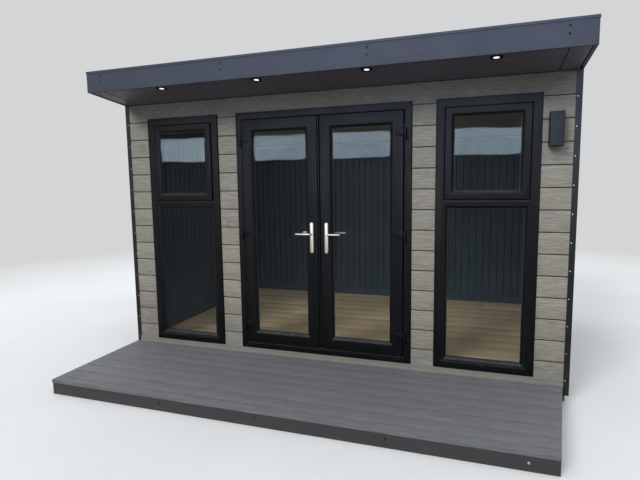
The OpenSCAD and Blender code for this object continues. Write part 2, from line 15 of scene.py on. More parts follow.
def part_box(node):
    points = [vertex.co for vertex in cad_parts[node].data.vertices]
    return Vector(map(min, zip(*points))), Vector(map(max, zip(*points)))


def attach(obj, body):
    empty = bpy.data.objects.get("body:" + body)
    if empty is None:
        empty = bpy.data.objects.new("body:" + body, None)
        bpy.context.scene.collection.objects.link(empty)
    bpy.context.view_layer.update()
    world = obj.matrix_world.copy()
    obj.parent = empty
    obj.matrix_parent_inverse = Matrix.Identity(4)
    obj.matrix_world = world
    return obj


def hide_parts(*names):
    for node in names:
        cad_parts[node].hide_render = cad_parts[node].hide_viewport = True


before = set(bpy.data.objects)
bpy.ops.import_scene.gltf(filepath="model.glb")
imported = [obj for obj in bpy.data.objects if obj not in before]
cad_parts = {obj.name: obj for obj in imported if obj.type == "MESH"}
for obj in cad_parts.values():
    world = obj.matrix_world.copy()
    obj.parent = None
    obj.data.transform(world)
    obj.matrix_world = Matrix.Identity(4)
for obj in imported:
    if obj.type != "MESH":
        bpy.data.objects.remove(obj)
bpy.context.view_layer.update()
random.seed(7)

# Plan and levels
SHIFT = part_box("front_cladding")[0].y
HALF = 1875
DEPTH = 2400
FLOOR = 166
EAVES = 2336
SLOPE = 0.1
ROOF_NORMAL = Vector((0, SLOPE, 1)).normalized()

# Cladding: the corner trims cover its ends
CORNER = 37
CORNER_PROUD = 3
CLAD_HALF = HALF - CORNER
CLAD_DEPTH = 19
CLAD_FOOT = 50
CLAD_TOP_GAP = 4
COURSE = 157
TOP_JOINT = 2331.3
GROOVE = 8
GROOVE_DEPTH = 11
TONGUE = 10
TOP_TONE = 0.4

# Frames of the doors and windows
FRAME_H = 2030
FRAME_TOP = FLOOR + FRAME_H
FRAME_FACE = -12
FRAME_BACK = 58
STOP_FACE = 41
SEAL = 6
DOOR_W = 1480
WINDOW_W = 710
WINDOW_X = 1279
WINDOW_FACE = 58
CLEAR_W = WINDOW_W - 2 * WINDOW_FACE

# Windows: an opening light over a fixed one
TRANSOM_FOOT = 1429
TRANSOM_TOP = 1461
FIXED_FOOT = FLOOR + WINDOW_FACE
FIXED_H = TRANSOM_FOOT - FIXED_FOOT
VENT_H = FRAME_TOP - WINDOW_FACE - TRANSOM_TOP
SASH_GAP = 6
SASH_FOOT = TRANSOM_TOP + SASH_GAP
SASH_W = CLEAR_W - 2 * SASH_GAP
SASH_H = VENT_H - 2 * SASH_GAP

# Doors
LEAF_X = 346.5
LEAF_W = 667
LEAF_FOOT = 226
LEAF_H = 1910
LEAF_FACE = -22
LEAF_BACK = 36
PIN_X = 695
PIN_Y = -24
HINGE_HEIGHTS = (372, 1181, 1964)

# Glass: how far each unit lies inside what holds it, and its panes
SASH_GLASS = 54
FIXED_GLASS = 20
LEAF_GLASS = 92
PANE_T = 4
PANE_STEP = 20

# Handles
SPINDLE_X = 63
SPINDLE_Z = 1191
PLATE_W = 32
PLATE_H = 256
PLATE_T = 13
PLATE_DROP = 34
LEVER_REACH = 46
LEVER_BEND = 16

# Roof: faces of the fascias, and their foot and top over the soffit
CANOPY = -440
FASCIA_BACK = -418
FASCIA_OUT = 1878
FASCIA_IN = 1855
REAR_OUT = 2403
REAR_IN = 2380
FASCIA_FOOT = -4
FASCIA_TOP = 161

# Lights
DOWNLIGHTS = 4
DOWNLIGHT_X = -1197.5
DOWNLIGHT_Y = -370
DOWNLIGHT_PITCH = 839
LAMP_X = 1721
LAMP_Y = -54.5
LAMP_Z = 1943
LAMP_MOUTH = 102

# Deck
DECK_FRONT = -1000
DECK_BACK = -6
DECK_LEFT = -1875
DECK_RIGHT = 1692
DECK_SPLAY = 0.144
DECK_TOP = 118
DECK_UNDER = 93
NOSING_W = 70
DECK_BOARD_W = 130
DECK_GAP = 5
FACING_FACE = -992
FACING_T = 20

# Screws: how deep their heads sit, and their places on the fascias and the corner angles
SCREW_SINK = 0.3
FASCIA_SCREWS = (77, 124)
ANGLE_SCREWS = [2160 - 200 * i for i in range(11)]
ANGLE_SCREW_X = 1850
ANGLE_SCREW_Y = 24
REAR_ANGLE_TOP = 2060

# Room
ROOM_HALF = 1748
ROOM_FRONT = 127
ROOM_BACK = 2273
SLAT_T = 6
SLAT_PITCH = 80
SLAT_GROOVE = 14
SLAT_DEPTH = 5
SKIRTING_H = 90
SKIRTING_T = 12
FLOOR_HALF = 1855
FLOOR_FRONT = 20
FLOOR_BACK = 2380
FLOOR_UNDER = 124
PLANK_UNDER = 156
PLANK_W = 192
PLANK_L = 1285
PLANK_STAGGER = 457


def soffit(y):
    """Height of the soffit's underside."""
    return EAVES - SLOPE * y


def deck_right(y):
    """The deck's right end, which slants out towards the wall."""
    return DECK_RIGHT + DECK_SPLAY * (y - DECK_FRONT)


def place(x, y, z):
    """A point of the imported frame, in metres."""
    return Vector((x / 1000, y / 1000 + SHIFT, z / 1000))


# Materials


def linear(code):
    """The linear colour of a six-digit colour code."""
    parts = [int(code[i : i + 2], 16) / 255 for i in (0, 2, 4)]
    return [c / 12.92 if c <= 0.04045 else ((c + 0.055) / 1.055) ** 2.4 for c in parts] + [1]


class Shade:
    """The nodes of one material."""

    def __init__(self, name):
        self.material = bpy.data.materials.new(name)
        self.material.use_nodes = True
        self.tree = self.material.node_tree
        self.tree.nodes.clear()
        self.output = self.node("ShaderNodeOutputMaterial")
        self.where = self.node("ShaderNodeTexCoord").outputs["Object"]

    def node(self, kind, inputs=None, **settings):
        made = self.tree.nodes.new(kind)
        for key, value in settings.items():
            setattr(made, key, value)
        for key, value in (inputs or {}).items():
            if isinstance(value, bpy.types.NodeSocket):
                self.tree.links.new(value, made.inputs[key])
            else:
                made.inputs[key].default_value = value
        return made

    def noise(self, scale, detail=4.0, seed=0.0):
        """Noise whose features are 1 / scale metres long on each axis."""
        moved = self.node(
            "ShaderNodeMapping",
            {"Vector": self.where, "Scale": scale, "Location": (seed, seed * 2.3, -seed)},
        )
        return self.node(
            "ShaderNodeTexNoise",
            {"Vector": moved.outputs[0], "Scale": 1.0, "Detail": detail, "Roughness": 0.55},
        ).outputs[0]

    def span(self, value, low, high, to_low, to_high):
        """Maps a value from one range to another and stops at its ends."""
        inputs = {0: value, 1: low, 2: high, 3: to_low, 4: to_high}
        return self.node("ShaderNodeMapRange", inputs).outputs[0]

    def times(self, a, b):
        return self.node("ShaderNodeMath", {0: a, 1: b}, operation="MULTIPLY").outputs[0]

    def either(self, a, b):
        return self.node("ShaderNodeMath", {0: a, 1: b}, operation="MAXIMUM").outputs[0]

    def mix(self, factor, a, b, kind="MIX"):
        inputs = {0: factor, 6: a, 7: b}
        return self.node("ShaderNodeMix", inputs, data_type="RGBA", blend_type=kind).outputs[2]

    def mark(self, name):
        return self.node("ShaderNodeAttribute", attribute_name=name).outputs["Fac"]

    def bump(self, height, depth, under=None):
        inputs = {"Strength": 1.0, "Distance": depth, "Height": height}
        if under:
            inputs["Normal"] = under
        return self.node("ShaderNodeBump", inputs).outputs[0]

    def shader(self, colour, roughness, normal, **inputs):
        values = {"Base Color": colour, "Roughness": roughness, "Normal": normal}
        values.update({key.replace("_", " "): value for key, value in inputs.items()})
        return self.node("ShaderNodeBsdfPrincipled", values)

    def done(self, shader):
        self.tree.links.new(shader.outputs[0], self.output.inputs[0])
        return self.material


def surface(name, code, rough, patches=0.06, grain=(), fine=(400, 0.00004), tone=0.0,
            wear=None, grime_and_shade=None, dust_and_highlight=None, splash_and_low_shade=None, **inputs):
    """A weathered surface.

    grain lists (scale, share of the colour, depth), fine is (scale, depth), tone is the spread
    between boards. wear is (colour, share) on rounded edges: paint wear where the
    colour is lighter, painted shade along gaps and outlines where it is darker. grime_and_shade
    is a colour where the edge mark is -1: painted shade deep in joints and under edges, with dirt
    in the cladding's joints. dust_and_highlight is (colour, share) on faces that look up: dust,
    and on the frames a painted highlight. splash_and_low_shade is (colour, share, height in
    metres) near the ground: splashed dirt, and on the cladding painted shade near the ground.
    """
    s = Shade(name)
    cloud = s.noise((1.3, 1.3, 1.3), 5, 4.0)
    value = s.span(cloud, 0.3, 0.7, 1 - patches, 1 + patches)
    normal = None
    for scale, share, depth in grain:
        lines = s.noise(scale, 5, 2.0)
        value = s.times(value, s.span(lines, 0.3, 0.7, 1 - share, 1 + share))
        normal = s.bump(lines, depth, normal)
    if tone:
        value = s.times(value, s.span(s.mark("tone"), 0.0, 1.0, 1 - tone, 1 + tone))
    speckle = s.noise((fine[0],) * 3, 2, 9.0)
    normal = s.bump(speckle, fine[1], normal)
    colour = s.mix(1.0, linear(code), value, "MULTIPLY")
    # Colour on rounded edges: paint wear where it is lighter, painted shade along gaps and outlines
    # where it is darker
    if wear:
        wear_and_shade_mask = s.mark("wear")
        wear_and_shade_mask = s.times(wear_and_shade_mask, s.span(s.noise((14, 14, 14), 3, 1.0), 0.35, 0.6, 0.2, wear[1]))
        colour = s.mix(wear_and_shade_mask, colour, linear(wear[0]))
    # Painted shade deep in joints and under edges, where the edge mark is -1; in the cladding's
    # joints it also stands for dirt
    if grime_and_shade:
        colour = s.mix(s.span(s.mark("wear"), -1.0, 0.0, 1.0, 0.0), colour, linear(grime_and_shade))
    # Darker towards the ground: splashed dirt, and on the cladding painted shade near the ground
    if splash_and_low_shade:
        height = s.node("ShaderNodeSeparateXYZ", {0: s.where}).outputs[2]
        low = s.span(height, 0.0, splash_and_low_shade[2], splash_and_low_shade[1], 0.0)
        splash_and_low_shade_mask = s.times(low, s.span(s.noise((9, 9, 26), 5, 6.0), 0.3, 0.7, 0.25, 1.0))
        colour = s.mix(splash_and_low_shade_mask, colour, linear(splash_and_low_shade[0]))
    # Lighter on faces that look up: dust, and on the frames a painted highlight where overhead
    # light falls
    if dust_and_highlight:
        up = s.node("ShaderNodeSeparateXYZ", {0: s.node("ShaderNodeNewGeometry").outputs["Normal"]})
        dust_and_highlight_mask = s.times(
            s.span(up.outputs[2], 0.3, 0.8, 0.0, dust_and_highlight[1]),
            s.span(s.noise((23, 23, 23), 4, 3.0), 0.3, 0.7, 0.4, 1.0),
        )
        colour = s.mix(dust_and_highlight_mask, colour, linear(dust_and_highlight[0]))
    roughness = s.span(s.noise((5, 5, 5), 4, 7.0), 0.3, 0.7, rough - 0.05, rough + 0.05)
    return s.done(s.shader(colour, roughness, normal, **inputs))


def glass_material():
    """Clear glass with a slight wave. Lamps shine through it."""
    s = Shade("clear_glass")
    wave = s.bump(s.noise((5, 5, 5), 1, 2.0), 0.00035)
    cloud = s.span(s.noise((3, 3, 3), 2), 0.3, 0.7, 0.0, 1.0)
    tint = s.mix(cloud, linear("eef2f1"), linear("e6ecea"))
    glass = s.shader(tint, 0.0, wave, IOR=1.13, Transmission_Weight=1.0,
                     Specular_Tint=linear("eef8ff"))
    rays = s.node("ShaderNodeLightPath")
    clear = s.node("ShaderNodeBsdfTransparent", {"Color": linear("f2f4f3")})
    inner = s.either(rays.outputs["Is Shadow Ray"], rays.outputs["Is Diffuse Ray"])
    return s.done(s.node("ShaderNodeMixShader",
                         {0: inner, 1: glass.outputs[0], 2: clear.outputs[0]}))


def lens_material(name, code, strength):
    """A frosted cover; its emission at the given strength is a painted glow that keeps it white in
    shade.
    """
    s = Shade(name)
    cells = s.node("ShaderNodeTexVoronoi", {"Vector": s.where, "Scale": 900.0}).outputs[0]
    tint = s.mix(s.span(cells, 0.0, 0.6, 0.0, 0.3), linear(code), linear("d8d2c0"))
    shader = s.shader(tint, 0.35, s.bump(cells, 0.0002), Emission_Strength=strength)
    shader.inputs["Emission Color"].default_value = linear(code)
    return s.done(shader)


# The cladding takes painted shade deep in its board joints, with dirt, and splashed dirt with
# painted shade darker towards its foot
CLADDING = surface(
    "painted_cladding", "8f8b7f", 0.62, 0.04,
    [((9, 9, 105), 0.24, 0.0014), ((18, 18, 260), 0.26, 0.0009)], tone=0.05,
    wear=("b0aca0", 0.5), grime_and_shade="24231f", splash_and_low_shade=("4f4c45", 0.6, 0.75), Specular_IOR_Level=0.3,
)
TRIM_PAINT = surface(
    "painted_trim", "737369", 0.6, 0.06, [((5, 90, 90), 0.08, 0.0003)], wear=("93938a", 0.5),
    dust_and_highlight=("8e8b80", 0.35), splash_and_low_shade=("5b564b", 0.35, 0.3), Specular_IOR_Level=0.3,
)
# The frames' dust_and_highlight lightens the faces that look up: dust, and a painted highlight of
# the sky-lit bead slopes
FRAME = surface(
    "frame_plastic", "09090a", 0.42, 0.10, [((60, 60, 7), 0.06, 0.00004)], (900, 0.00001),
    wear=("26272e", 0.6), dust_and_highlight=("85847f", 0.35), Specular_IOR_Level=0.085,
)
RUBBER = surface("black_rubber", "070707", 0.7, 0.1, fine=(600, 0.0001), dust_and_highlight=("4a4845", 0.3),
                 Specular_IOR_Level=0.15)
SEALANT = surface("black_sealant", "090909", 0.5, 0.1, [((40, 40, 40), 0.1, 0.0006)],
                  Specular_IOR_Level=0.15)
ANGLE = surface(
    "dark_angle", "17181c", 0.42, 0.10, [((50, 50, 5), 0.05, 0.00005)], wear=("3d3f45", 0.6),
    splash_and_low_shade=("4d483f", 0.35, 0.35), Specular_IOR_Level=0.15,
)
# The fascia boards take painted shade on the side fascias' undersides
FASCIA = surface(
    "fascia_board", "3e4351", 0.55, 0.06, [((4, 90, 90), 0.07, 0.0003)], (500, 0.00006),
    wear=("666a76", 0.5), grime_and_shade="17181c", dust_and_highlight=("6f7278", 0.3), Specular_IOR_Level=0.2,
)
CAPPING = surface(
    "folded_capping", "3e4351", 0.5, 0.06, fine=(300, 0.00003), Specular_IOR_Level=0.2,
)
SOFFIT = surface(
    "soffit_board", "5c5860", 0.5, 0.10, [((4, 90, 90), 0.08, 0.0002)], wear=("625d5c", 0.5),
    Specular_IOR_Level=0.25,
)
ROOF = surface(
    "roof_rubber", "2a2b2d", 0.75, 0.22, [((2.2, 2.2, 2.2), 0.12, 0.004)], (160, 0.0002),
    dust_and_highlight=("5a5852", 0.35),
)
# The deck's dark edge colour is painted shade on the rounded board edges beside the gaps
DECK = surface(
    "deck_boards", "67686c", 0.6, 0.06,
    [((4, 46, 46), 0.09, 0.0004), ((6, 110, 110), 0.26, 0.001)], (300, 0.0002), tone=0.05,
    wear=("3a3b3f", 0.85), dust_and_highlight=("7a7872", 0.2), Specular_IOR_Level=0.35,
)
FACING = surface(
    "deck_facing", "2f2e2f", 0.55, 0.08, [((5, 190, 190), 0.10, 0.0006)], tone=0.04,
    wear=("55545a", 0.6), splash_and_low_shade=("5a4f40", 0.4, 0.07), Specular_IOR_Level=0.35,
)
TIMBER = surface(
    "treated_timber", "4d4536", 0.75, 0.14, [((4, 4, 110), 0.2, 0.0008)],
    splash_and_low_shade=("332e26", 0.5, 0.15),
)
# The lining takes painted shade deep in the grooves between its slats
LINING = surface(
    "painted_lining", "2f3946", 0.55, 0.05, [((16, 16, 3), 0.08, 0.0002)], (40, 0.0001), tone=0.04,
    grime_and_shade="11151b", wear=("54575a", 0.3), Specular_IOR_Level=0.25,
)
CEILING = surface("painted_ceiling", "8d8c87", 0.7, 0.04, [((30, 30, 30), 0.03, 0.0002)])
OAK = surface(
    "oak_floor", "dcbb9c", 0.42, 0.08, [((5, 130, 130), 0.16, 0.0003)], tone=0.14,
    Specular_IOR_Level=0.4,
)
# The hinges' black edge colour is painted shade outlining the flags and blocks
HINGE = surface(
    "hinge_metal", "060607", 0.45, 0.10, fine=(700, 0.00002), wear=("010101", 1.0),
    Specular_IOR_Level=0.10,
)
BEZEL = surface("light_bezel", "050506", 0.5, 0.1, fine=(700, 0.00002), wear=("121214", 0.6),
                Specular_IOR_Level=0.1)
LAMP = surface(
    "lamp_metal", "11121a", 0.45, 0.08, fine=(900, 0.00004), wear=("2c2d36", 0.7),
    dust_and_highlight=("6a6a6c", 0.3), Specular_IOR_Level=0.13,
)
STEEL = surface(
    "satin_steel", "a39a8c", 0.34, 0.04, [((500, 500, 30), 0.05, 0.00002)], (1200, 0.00001),
    wear=("d6d4d0", 0.5), Metallic=1.0,
)
LEVER = surface(
    "bright_lever", "cfc8ba", 0.30, 0.04, [((500, 30, 500), 0.05, 0.00002)], (1200, 0.00001),
    Metallic=1.0,
)
SCREW = surface("dark_screw", "070708", 0.5, 0.1, fine=(1500, 0.00005), Specular_IOR_Level=0.15)
BRIGHT = surface("zinc_screw", "9c9b98", 0.42, 0.1, fine=(1500, 0.00005), Metallic=1.0)
SPACER = surface("glass_spacer", "3a3b3d", 0.45, 0.08, fine=(900, 0.00008), Metallic=0.4)
GLASS = glass_material()
# The downlight covers glow with painted light so that they read white in the soffit's shade
LENS = lens_material("light_lens", "f8f7f4", 1.1)
LAMP_LENS = lens_material("lamp_lens", "efe9da", 0.0)


# Building blocks


def rounded(corners, steps=3):
    """A closed outline of (a, b, wear) from corners of (a, b, radius)."""
    outline = []
    for i, (a, b, radius) in enumerate(corners):
        if not radius:
            outline.append((a, b, 0))
            continue
        here = Vector((a, b))
        before = Vector(corners[i - 1][:2])
        after = Vector(corners[(i + 1) % len(corners)][:2])
        start = here + (before - here).normalized() * radius
        end = here + (after - here).normalized() * radius
        for step in range(steps + 1):
            t = step / steps
            p = start * (1 - t) ** 2 + here * (2 * t * (1 - t)) + end * t**2
            outline.append((p.x, p.y, math.sin(math.pi * t)))
    return outline


class Piece:
    """One object in the making. Points are in millimetres and carry tone and wear."""

    def __init__(self, name, body="building"):
        self.name, self.body = name, body
        self.points, self.tones, self.wears, self.faces, self.skins = [], [], [], [], []
        self.tone, self.skin = 0.5, 0

    def loft(self, rings, loop=False):
        """Joins rings of (x, y, z, wear), all with one number of points."""
        base, size, count = len(self.points), len(rings[0]), len(rings)
        for ring in rings:
            for x, y, z, wear in ring:
                self.points.append((x, y, z))
                self.tones.append(self.tone)
                self.wears.append(wear)
        faces = []
        for i in range(count if loop else count - 1):
            a, b = base + i * size, base + (i + 1) % count * size
            for j in range(size):
                k = (j + 1) % size
                faces.append((a + j, a + k, b + k, b + j))
        if not loop:
            faces.append(tuple(range(base, base + size)))
            faces.append(tuple(range(base + (count - 1) * size, base + count * size)))
        self.faces += faces
        self.skins += [self.skin] * len(faces)

    def along_x(self, x0, x1, outline):
        """A bar with its outline given as (y, z, wear)."""
        self.loft([[(x, y, z, w) for y, z, w in outline] for x in (x0, x1)])

    def along_y(self, y0, y1, outline):
        """A bar with its outline given as (x, z, wear)."""
        self.loft([[(x, y, z, w) for x, z, w in outline] for y in (y0, y1)])

    def along_z(self, z0, z1, outline):
        """A bar with its outline given as (x, y, wear)."""
        self.loft([[(x, y, z, w) for x, y, w in outline] for z in (z0, z1)])

    def block(self, low, high, radius):
        """A box whose long edges along X are rounded."""
        (x0, y0, z0), (x1, y1, z1) = low, high
        self.along_x(x0, x1, rounded([(y0, z0, radius), (y1, z0, radius), (y1, z1, radius),
                                      (y0, z1, radius)]))

    def ring(self, x, z, w, h, outline):
        """A mitred ring in the wall's plane, its foot at z. The outline is (inset, y, wear)."""
        rings = []
        for side, top in ((-1, 0), (1, 0), (1, 1), (-1, 1)):
            rings.append([
                (x + side * (w / 2 - s), y, z + (h - s if top else s), wear)
                for s, y, wear in outline
            ])
        self.loft(rings, loop=True)

    def plate(self, x, z, w, h, back, front, radius, edge):
        """A rounded plate on an upright face, with a softened front edge."""
        lean = edge if front > back else -edge
        levels = [(back, 0, 0), (front - lean, 0, 0.6), (front - lean * 0.3, edge * 0.3, 1),
                  (front, edge, 0)]
        rings = []
        for y, inset, wear in levels:
            a, b = w / 2 - inset, h / 2 - inset
            r = max(radius - inset, 0.01)
            outline = rounded([(-a, -b, r), (a, -b, r), (a, b, r), (-a, b, r)], 5)
            rings.append([(x + p, y, z + q, wear) for p, q, _ in outline])
        self.loft(rings)

    def turned(self, centre, axis, profile, segments=24):
        """A turned part about an axis through centre. The profile is (radius, along, wear)."""
        rings = []
        for radius, along, wear in profile:
            ring = []
            for i in range(segments):
                angle = 2 * math.pi * i / segments
                offset = {
                    "x": (along, math.cos(angle) * radius, math.sin(angle) * radius),
                    "y": (math.cos(angle) * radius, along, math.sin(angle) * radius),
                    "z": (math.cos(angle) * radius, math.sin(angle) * radius, along),
                }[axis]
                ring.append(tuple(c + o for c, o in zip(centre, offset)) + (wear,))
            rings.append(ring)
        self.loft(rings)

    def sweep(self, path, radii):
        """A round bar along a path in a level plane."""
        rings, segments = [], 20
        for i, p in enumerate(path):
            before, after = Vector(path[max(i - 1, 0)]), Vector(path[min(i + 1, len(path) - 1)])
            side = (after - before).normalized().cross(Vector((0, 0, 1)))
            ring = []
            for j in range(segments):
                angle = 2 * math.pi * j / segments
                q = Vector(p) + side * math.cos(angle) * radii[i]
                q.z += math.sin(angle) * radii[i]
                ring.append((q.x, q.y, q.z, 0))
            rings.append(ring)
        self.loft(rings)

    def make(self, materials, slot, replaces=(), sharp=32, cut=None):
        """Makes the object. cut is (point, normal): what lies beyond that plane goes."""
        mesh = bpy.data.meshes.new(self.name)
        mesh.from_pydata([place(*p) for p in self.points], [], self.faces)
        for name, values in (("tone", self.tones), ("wear", self.wears)):
            mesh.attributes.new(name, "FLOAT", "POINT").data.foreach_set("value", values)
        for material in materials:
            mesh.materials.append(material)
        mesh.polygons.foreach_set("material_index", self.skins)
        shape = bmesh.new()
        shape.from_mesh(mesh)
        if cut:
            everything = shape.verts[:] + shape.edges[:] + shape.faces[:]
            bmesh.ops.bisect_plane(shape, geom=everything, plane_co=place(*cut[0]),
                                   plane_no=cut[1], clear_outer=True)
            rim = [e for e in shape.edges if e.is_boundary]
            bmesh.ops.holes_fill(shape, edges=rim)
        bmesh.ops.recalc_face_normals(shape, faces=shape.faces)
        shape.to_mesh(mesh)
        shape.free()
        mesh.shade_smooth()
        mesh.set_sharp_from_angle(angle=math.radians(sharp))
        made = bpy.data.objects.new(self.name, mesh)
        bpy.context.scene.collection.objects.link(made)
        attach(made, self.body)
        if replaces:
            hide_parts(*replaces)


# Cladding: shiplap boards with rounded edges over tongues


def board(low, high, tongue=True, last=False):
    """Outline (depth, z, wear) of a board between two joints. The last one has a square foot."""
    half, back = GROOVE / 2, CLAD_DEPTH
    foot = low + (0 if last else half)
    corners = [(0, foot, 0 if last else 3), (0, high - half, 3), (GROOVE_DEPTH, high - half, 0)]
    if tongue:
        corners += [(GROOVE_DEPTH, high + TONGUE, 0), (back, high + TONGUE, 0)]
    else:
        corners.append((back, high - half, 0))
    if last:
        corners.append((back, foot, 0))
    else:
        corners += [(back, low + TONGUE + 1, 0), (GROOVE_DEPTH - 1, low + TONGUE + 1, 0),
                    (GROOVE_DEPTH - 1, foot, 0)]
    # Points at the groove's depth get the mark -1, for painted shade and dirt deep in the joint
    return [(d, z, -1 if d == GROOVE_DEPTH else wear) for d, z, wear in rounded(corners)]


def joints_down_to(foot):
    """The joints' heights from the top one down to a foot, and the foot itself."""
    heights = [TOP_JOINT]
    while heights[-1] - COURSE > foot:
        heights.append(heights[-1] - COURSE)
    return heights + [foot]


def front_boards():
    piece = Piece("front_boards")
    heights = joints_down_to(FLOOR)
    outer = WINDOW_X + WINDOW_W / 2 + SEAL
    inner = WINDOW_X - WINDOW_W / 2 - SEAL
    door = DOOR_W / 2 + SEAL
    piers = [(-CLAD_HALF, -outer), (-inner, -door), (door, inner), (outer, CLAD_HALF)]
    # The top course reaches below the heads of the frames, as a strip on each pier
    head, low, half = FRAME_TOP + SEAL, heights[1], GROOVE / 2
    strip = rounded([(0, low + half, 3), (0, head, 0), (CLAD_DEPTH, head, 0),
                     (CLAD_DEPTH, low + TONGUE + 1, 0), (GROOVE_DEPTH - 1, low + TONGUE + 1, 0),
                     (GROOVE_DEPTH - 1, low + half, 0)])
    piece.tone = TOP_TONE
    piece.along_x(-CLAD_HALF, CLAD_HALF, board(head, heights[0], last=True))
    for x0, x1 in piers:
        piece.tone = TOP_TONE
        piece.along_x(x0, x1, strip)
        for high, low in zip(heights[1:], heights[2:]):
            piece.tone = random.random()
            piece.along_x(x0, x1, board(low, high, last=low == FLOOR))
    piece.make([CLADDING], "cladding", ["front_cladding"])


def side_boards():
    piece = Piece("side_boards")
    heights = joints_down_to(CLAD_FOOT)
    for side in (-1, 1):
        for high, low in zip(heights, heights[1:]):
            piece.tone = random.random()
            outline = [(side * (HALF - d), z, w)
                       for d, z, w in board(low, high, last=low == CLAD_FOOT)]
            piece.along_y(CORNER, DEPTH - CORNER, outline)
    piece.make([CLADDING], "cladding", ["side_cladding"],
               cut=((0, 0, soffit(0) - CLAD_TOP_GAP), ROOF_NORMAL))


def back_boards():
    piece = Piece("back_boards")
    heights = [z for z in joints_down_to(CLAD_FOOT) if z < soffit(DEPTH)]
    top = soffit(DEPTH) - CLAD_TOP_GAP
    for high, low in zip([top] + heights, heights):
        piece.tone = random.random()
        outline = board(low, high, tongue=high != top, last=low == CLAD_FOOT)
        piece.along_x(-CLAD_HALF, CLAD_HALF, [(DEPTH - d, z, w) for d, z, w in outline])
    piece.make([CLADDING], "cladding", ["back_cladding"])


def base_moulding():
    """The stepped trim at the foot of the front wall, in three lengths."""
    piece = Piece("base_moulding")
    outline = rounded([
        (CLAD_DEPTH, CLAD_FOOT, 0), (0, CLAD_FOOT, 0), (0, DECK_TOP, 0), (-20, DECK_TOP, 0),
        (-20, 134, 4), (-10, 134, 1.5), (-10, FLOOR, 4), (CLAD_DEPTH, FLOOR, 0),
    ])
    joints = [-CLAD_HALF, -612, 614, CLAD_HALF]
    for x0, x1 in zip(joints, joints[1:]):
        piece.tone = random.random()
        piece.along_x(x0 + 0.6, x1 - 0.6, outline)
    piece.make([TRIM_PAINT], "cladding", ["base_trim"])


# Frames, leaves and lights


def sealant():
    """The dark bead between the cladding and the frames."""
    piece = Piece("frame_sealant")
    bead = [(0, -2), (2.5, 2.5), (6.4, 3), (6.4, CLAD_DEPTH), (0, CLAD_DEPTH)]
    for x, w in ((-WINDOW_X, WINDOW_W), (0, DOOR_W), (WINDOW_X, WINDOW_W)):
        for side in (-1, 1):
            edge = x + side * w / 2
            piece.along_z(FLOOR, FRAME_TOP + SEAL, [(edge + side * out, y, 0) for out, y in bead])
        piece.along_x(x - w / 2, x + w / 2, [(y, FRAME_TOP + out, 0) for out, y in bead])
    piece.make([SEALANT], "frame")


def lip(inset, face, depth=1.0):
    """A fine groove across a flat face, as corners of an outline."""
    return [(inset - 0.8, face, 0), (inset, face + depth, 0), (inset + 0.8, face, 0)]


def gasket(piece, x, z, w, h, inset, face, back, width=5.0):
    """A soft rubber seal round an opening, with its crown to the front."""
    piece.skin = 1
    piece.ring(x, z, w, h, rounded([
        (inset, back, 0), (inset, face + 1, 1), (inset + width / 2, face, 1),
        (inset + width, face + 1, 1), (inset + width, back, 0),
    ]))
    piece.skin = 0


def drain_cap(piece, x, z):
    """A cover over a drainage slot in the foot of a frame."""
    piece.plate(x, z, 34, 10, FRAME_FACE, FRAME_FACE - 3.5, 3.5, 1.2)
    piece.plate(x, z - 3.8, 26, 1.6, FRAME_FACE - 3.0, FRAME_FACE - 4.2, 0.4, 0.2)


def door_frame():
    piece = Piece("door_outer_frame")
    outline = rounded([(0, FRAME_FACE, 3)] + lip(44, FRAME_FACE) + [
        (52, FRAME_FACE, 3), (52, STOP_FACE, 0), (76, STOP_FACE, 2), (76, FRAME_BACK, 2),
        (0, FRAME_BACK, 1)])
    piece.ring(0, FLOOR, DOOR_W, FRAME_H, outline)
    gasket(piece, 0, FLOOR, DOOR_W, FRAME_H, 66, 36.3, STOP_FACE)
    for x in (-640, 640):
        drain_cap(piece, x, FLOOR + 26)
    piece.make([FRAME, RUBBER], "frame", ["door_frame"])


def leaf(side, name):
    piece = Piece(name + "_leaf_profile", name + "_door")
    x = side * LEAF_X
    outline = rounded([(0, LEAF_FACE, 3.5)] + lip(80, LEAF_FACE, 1.4) + [
        (83, -21.6, 1.2), (93, -14.5, 3), (98.5, -9, 1), (100, -6.2, 0), (92, -6, 0), (92, 18, 0),
        (100, 18, 0), (97, 25, 2), (86, LEAF_BACK, 2), (0, LEAF_BACK, 2)])
    piece.ring(x, LEAF_FOOT, LEAF_W, LEAF_H, outline)
    gasket(piece, x, LEAF_FOOT, LEAF_W, LEAF_H, 98.0, -8.6, -6, 4.0)
    if side < 0:  # the strip where the leaves meet, and its seal
        piece.along_z(LEAF_FOOT, LEAF_FOOT + LEAF_H, rounded([
            (-18, -8, 0), (-1.5, -8, 2.5), (0, -6, 1), (0, 20, 1), (-1.5, 22, 1), (-18, 22, 0)]))
        piece.skin = 1
        piece.along_z(LEAF_FOOT + 2, LEAF_FOOT + LEAF_H - 2, rounded([
            (-6, 21, 0), (-6, 25, 1), (-3, 26, 1), (-1, 25, 1), (-1, 21, 0)]))
        piece.skin = 0
    piece.make([FRAME, RUBBER], "frame", [name + "_leaf"])


